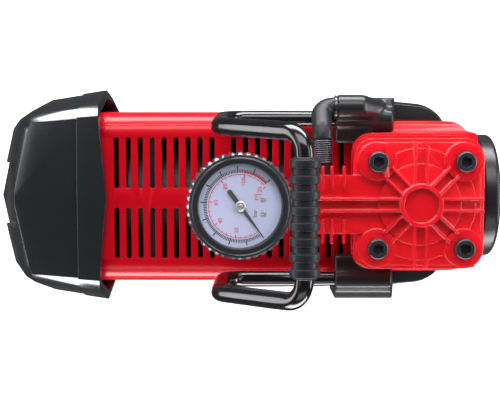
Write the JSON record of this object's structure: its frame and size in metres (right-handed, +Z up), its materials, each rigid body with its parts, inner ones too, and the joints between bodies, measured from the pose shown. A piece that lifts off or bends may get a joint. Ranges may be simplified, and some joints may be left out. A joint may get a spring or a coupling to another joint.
{
  "type": "air compressor",
  "caption": "Portable direct-drive air compressor with a ribbed cylinder head, pressure gauge, rear cap with rocker switch, and a carrying handle over the top.",
  "frame": {"origin": "middle of the footprint's bounding box, on the ground", "axes": "+X towards the cylinder head and front cover, +Z up, +Y to the hose side"},
  "size_m": [0.2709, 0.1162, 0.1988],
  "materials": {
    "red_paint": "gloss",
    "black_plastic": "satin",
    "red_plastic": "gloss",
    "zinc_steel": "satin",
    "black_oxide": "satin",
    "ferrite": "matte",
    "core_steel": "matte",
    "copper": "satin",
    "brass": "satin",
    "carbon": "matte",
    "aluminium": "satin",
    "seal_rubber": "matte",
    "hose_rubber": "matte",
    "grip_rubber": "matte",
    "black_enamel": "gloss",
    "gauge_grey": "satin",
    "bezel_black": "satin",
    "dial_white": "satin",
    "needle_black": "matte",
    "clear_lens": "gloss"
  },
  "bodies": {
    "casing": {"housing_shell": "red_paint", "crankcase": "red_paint", "cylinder_barrel": "red_paint", "cylinder_head": "red_paint", "rear_cover": "black_plastic", "rear_collar": "black_plastic", "front_cover": "black_plastic", "left_clamp": "black_plastic", "right_clamp": "black_plastic", "front_base": "black_plastic", "power_gland": "black_plastic", "switch_body": "black_plastic", "motor_cradles": "black_plastic", "hose_port": "black_plastic", "gauge_case": "black_plastic", "cap_screws": "zinc_steel", "clamp_screws": "zinc_steel", "cover_screws": "zinc_steel", "dial_screws": "zinc_steel", "motor_can": "zinc_steel", "rear_bearing": "zinc_steel", "front_bearing": "zinc_steel", "end_bell": "zinc_steel", "cylinder_sleeve": "zinc_steel", "valve_plate": "zinc_steel", "reed_valves": "zinc_steel", "spring_guard": "zinc_steel", "head_screws": "black_oxide", "hose_fitting": "black_oxide", "magnets": "ferrite", "brush_holder": "brass", "gauge_stem": "brass", "bourdon_tube": "brass", "outlet_coupler": "brass", "brushes": "carbon", "head_gasket": "seal_rubber", "rubber_feet": "seal_rubber", "air_hose": "hose_rubber", "handle_grip": "grip_rubber", "handle_tube": "black_enamel", "gauge_knurl": "gauge_grey", "gauge_bezel": "bezel_black", "gauge_dial": "dial_white", "gauge_lens": "clear_lens"},
    "rotor": {"armature": "core_steel", "windings": "copper", "commutator": "copper", "motor_shaft": "zinc_steel", "cooling_fan": "black_plastic", "crank_disc": "core_steel", "crank_pin": "zinc_steel"},
    "piston_body": {"piston": "aluminium", "piston_seal": "seal_rubber", "wrist_pin": "zinc_steel"},
    "rod_body": {"connecting_rod": "aluminium"},
    "rocker": {"rocker_switch": "red_plastic"},
    "needle": {"gauge_needle": "needle_black", "needle_hub": "zinc_steel"},
    "outlet_sleeve": {"coupler_sleeve": "zinc_steel"}
  },
  "joints": [
    {"name": "rotor_spin", "type": "hinge", "parent": "casing", "child": "rotor", "pos_m": [0.06195, 0, 0.04375], "axis": [1, 0, 0], "continuous": true},
    {"name": "piston_stroke", "type": "slide", "parent": "casing", "child": "piston_body", "axis": [0, 0, 1], "range_m": [0, 0.018]},
    {"name": "rod_swing", "type": "hinge", "parent": "piston_body", "child": "rod_body", "pos_m": [0.0875, 0, 0.07875], "axis": [1, 0, 0], "range_deg": [-11, 11]},
    {"name": "switch_rock", "type": "hinge", "parent": "casing", "child": "rocker", "pos_m": [-0.11965, 0, 0.06], "axis": [0, 0, 1], "range_deg": [0, 16]},
    {"name": "needle_sweep", "type": "hinge", "parent": "casing", "child": "needle", "pos_m": [-0.0017, 0, 0.13], "axis": [-0.1045, 0, -0.9945], "range_deg": [0, 270]},
    {"name": "sleeve_pull", "type": "slide", "parent": "casing", "child": "outlet_sleeve", "axis": [-1, 0, 0], "range_m": [0, 0.004], "stiffness_N_per_m": 800, "springref_m": -0.001}
  ]
}
